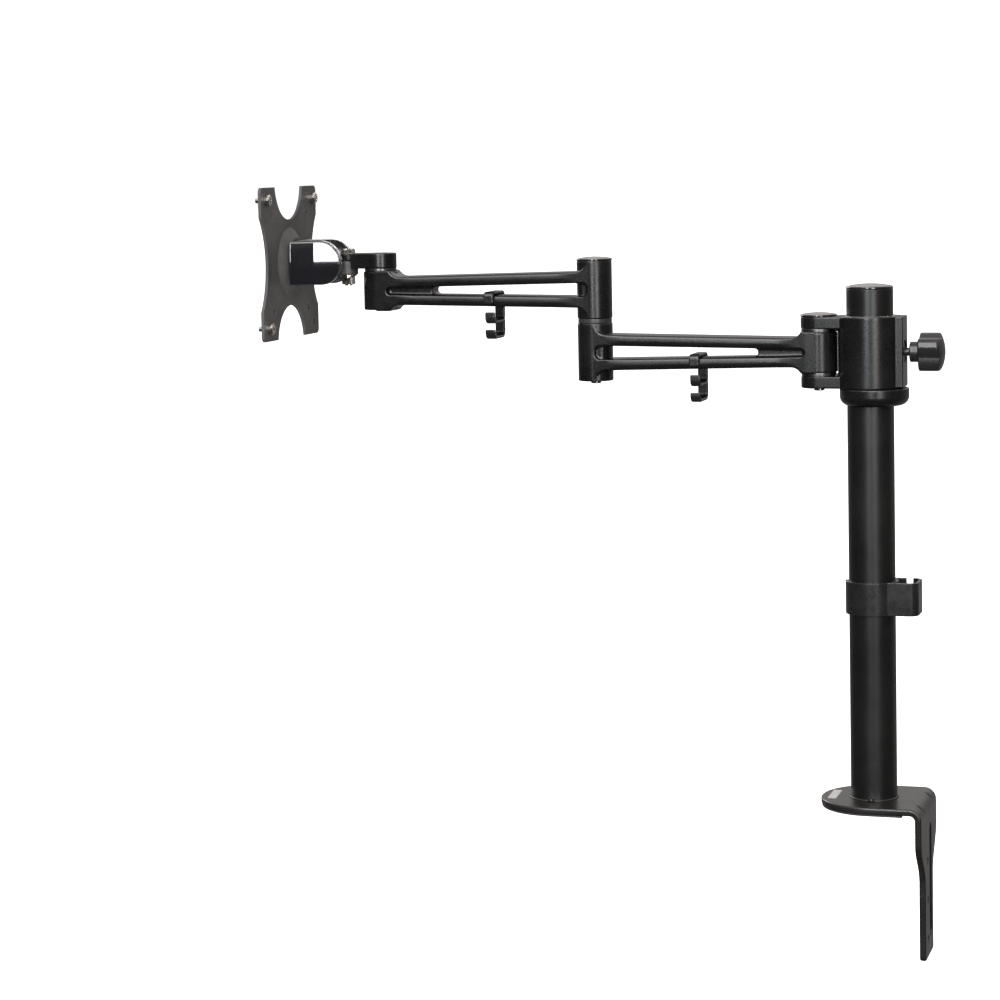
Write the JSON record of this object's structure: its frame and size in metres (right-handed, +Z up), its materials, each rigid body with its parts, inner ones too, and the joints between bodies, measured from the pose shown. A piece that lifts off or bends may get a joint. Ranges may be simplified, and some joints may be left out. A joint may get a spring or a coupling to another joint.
{
  "type": "monitor arm",
  "caption": "Desk-edge monitor arm: bent steel bracket, pole with height collar and clamp sleeve, two folding links, tilting and turning head and a square VESA plate.",
  "frame": {"origin": "on the pole's axis at the desk surface, the underside of the bracket's pad", "axes": "+Z up along the pole; the arm reaches along -Y to the mounting plate, which faces -Y; the bracket's leg hangs over the desk edge on the +Y side; the clip hooks open towards +X"},
  "size_m": [0.12, 0.5266, 0.59],
  "materials": {
    "bracket_paint": "satin black powder coat",
    "pole_paint": "satin black powder coat",
    "casting_paint": "satin black paint on cast aluminium",
    "plate_paint": "matte black powder coat",
    "block_steel": "black oxide",
    "pad_rubber": "matte",
    "gloss_black": "polished black",
    "cover_gloss": "polished black",
    "knob_plastic": "semi-gloss black",
    "clip_plastic": "semi-gloss black",
    "disc_plastic": "matte black",
    "nylon": "natural nylon",
    "black_steel": "black oxide",
    "zinc_steel": "bright zinc",
    "washer_steel": "satin",
    "washer_black": "satin black",
    "chrome": "polished",
    "yoke_chrome": "polished",
    "label_foil": "matte foil"
  },
  "bodies": {
    "base": {"desk_bracket": "bracket_paint", "desk_pad": "pad_rubber", "pole": "pole_paint", "pole_cap": "gloss_black", "pole_weld": "bracket_paint", "rating_label": "label_foil"},
    "pole_clip": {"pole_cable_clip": "clip_plastic"},
    "collar": {"support_collar": "casting_paint", "collar_screw": "black_steel"},
    "sleeve": {"pole_sleeve": "casting_paint", "sleeve_liner": "nylon", "clevis_bolt": "zinc_steel", "clevis_nut": "zinc_steel", "clevis_cap": "gloss_black", "clevis_washers": "washer_steel"},
    "brake": {"brake_pad": "nylon"},
    "knob": {"lock_knob": "knob_plastic", "knob_screw": "black_steel"},
    "inner_arm": {"inner_link": "casting_paint", "inner_bushes": "nylon", "middle_bolt": "zinc_steel", "middle_nut": "zinc_steel", "middle_washer": "washer_black"},
    "outer_arm": {"outer_link": "casting_paint", "middle_cap": "gloss_black", "middle_bushes": "nylon", "end_bushes": "nylon"},
    "end_arm": {"tongue": "casting_paint", "end_bolt": "zinc_steel", "end_nut": "zinc_steel", "end_washer": "washer_steel", "swivel_bolt": "chrome", "swivel_nut": "chrome", "swivel_washer": "chrome"},
    "head_block": {"tilt_block": "block_steel"},
    "head": {"yoke_bracket": "yoke_chrome", "yoke_cover_right": "cover_gloss", "yoke_cover_left": "cover_gloss", "tilt_bolt": "zinc_steel", "tilt_nut": "zinc_steel"},
    "plate": {"mounting_plate": "plate_paint", "friction_disc": "disc_plastic", "plate_bolt": "zinc_steel", "plate_screws": "chrome"},
    "inner_clip": {"inner_cable_clip": "clip_plastic"},
    "outer_clip": {"outer_cable_clip": "clip_plastic"}
  },
  "joints": [
    {"name": "clip_height", "type": "slide", "parent": "base", "child": "pole_clip", "axis": [0, 0, 1], "range_m": [-0.13, 0]},
    {"name": "arm_height", "type": "slide", "parent": "base", "child": "collar", "axis": [0, 0, 1], "range_m": [-0.13, 0.02]},
    {"name": "sleeve_turn", "type": "hinge", "parent": "collar", "child": "sleeve", "pos_m": [0, 0, 0.345], "axis": [0, 0, 1], "continuous": true},
    {"name": "brake_slide", "type": "slide", "parent": "sleeve", "child": "brake", "axis": [0, 1, 0], "range_m": [0, 0.002]},
    {"name": "knob_turn", "type": "hinge", "parent": "brake", "child": "knob", "pos_m": [0, 0.045, 0.345], "axis": [0, 1, 0], "range_deg": [0, 720]},
    {"name": "clevis_pivot", "type": "hinge", "parent": "sleeve", "child": "inner_arm", "pos_m": [0, -0.03875, 0.345], "axis": [0, 0, 1], "range_deg": [-90, 90]},
    {"name": "middle_pivot", "type": "hinge", "parent": "inner_arm", "child": "outer_arm", "pos_m": [0, -0.21275, 0.39325], "axis": [0, 0, -1], "range_deg": [-150, 150]},
    {"name": "end_pivot", "type": "hinge", "parent": "outer_arm", "child": "end_arm", "pos_m": [0, -0.38675, 0.416], "axis": [0, 0, 1], "range_deg": [-90, 90]},
    {"name": "head_swivel", "type": "hinge", "parent": "end_arm", "child": "head_block", "pos_m": [0, -0.41375, 0.416], "axis": [0, 0, 1], "range_deg": [-35, 35]},
    {"name": "head_tilt", "type": "hinge", "parent": "head_block", "child": "head", "pos_m": [0, -0.43175, 0.416], "axis": [1, 0, 0], "range_deg": [-45, 45]},
    {"name": "plate_turn", "type": "hinge", "parent": "head", "child": "plate", "pos_m": [0, -0.4625, 0.416], "axis": [0, 1, 0], "continuous": true},
    {"name": "inner_clip_slide", "type": "slide", "parent": "inner_arm", "child": "inner_clip", "axis": [0, 0.9998, 0.0177], "range_m": [-0.03, 0.03]},
    {"name": "outer_clip_slide", "type": "slide", "parent": "outer_arm", "child": "outer_clip", "axis": [0, -0.9998, 0.0177], "range_m": [-0.015, 0.03]}
  ],
  "couplings": [
    {"joint": "knob_turn", "follows": "brake_slide", "rad_per_m": 6283}
  ]
}
